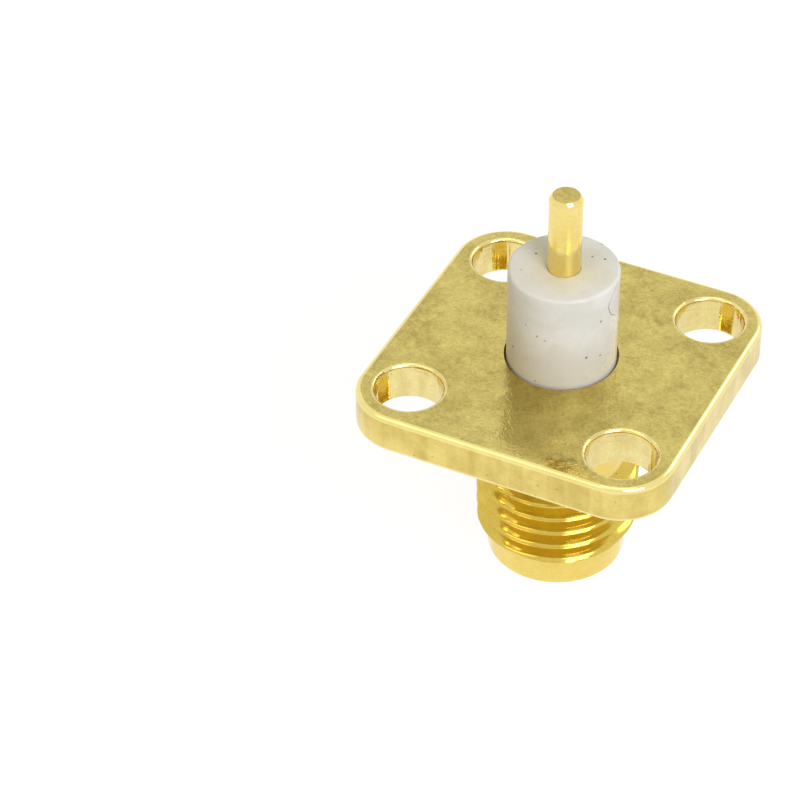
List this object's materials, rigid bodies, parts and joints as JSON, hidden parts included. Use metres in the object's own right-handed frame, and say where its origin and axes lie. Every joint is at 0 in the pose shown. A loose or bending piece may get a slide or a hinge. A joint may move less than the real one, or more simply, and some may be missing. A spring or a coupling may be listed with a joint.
{
  "type": "panel-mount coaxial jack",
  "caption": "Square-flange SMA coaxial jack with a male centre pin in its threaded mouth and an extended insulator with a straight solder pin.",
  "frame": {"origin": "centre of the rim of the mating end, on the barrel's axis; the part stands on this rim", "axes": "+Z along the barrel's axis, from the mouth through the flange to the solder pin; X and Y parallel to the flange's sides"},
  "size_m": [0.0126, 0.0126, 0.017],
  "materials": {
    "plated_body": "gold-plated brass, turned and milled, satin on the flange and bright on the barrel",
    "insulator": "white fluoropolymer, machined, slightly waxy",
    "plated_contact": "gold-plated, turned, bright"
  },
  "bodies": {
    "root": {"body": "plated_body", "insulator": "insulator", "center_contact": "plated_contact"}
  },
  "joints": []
}
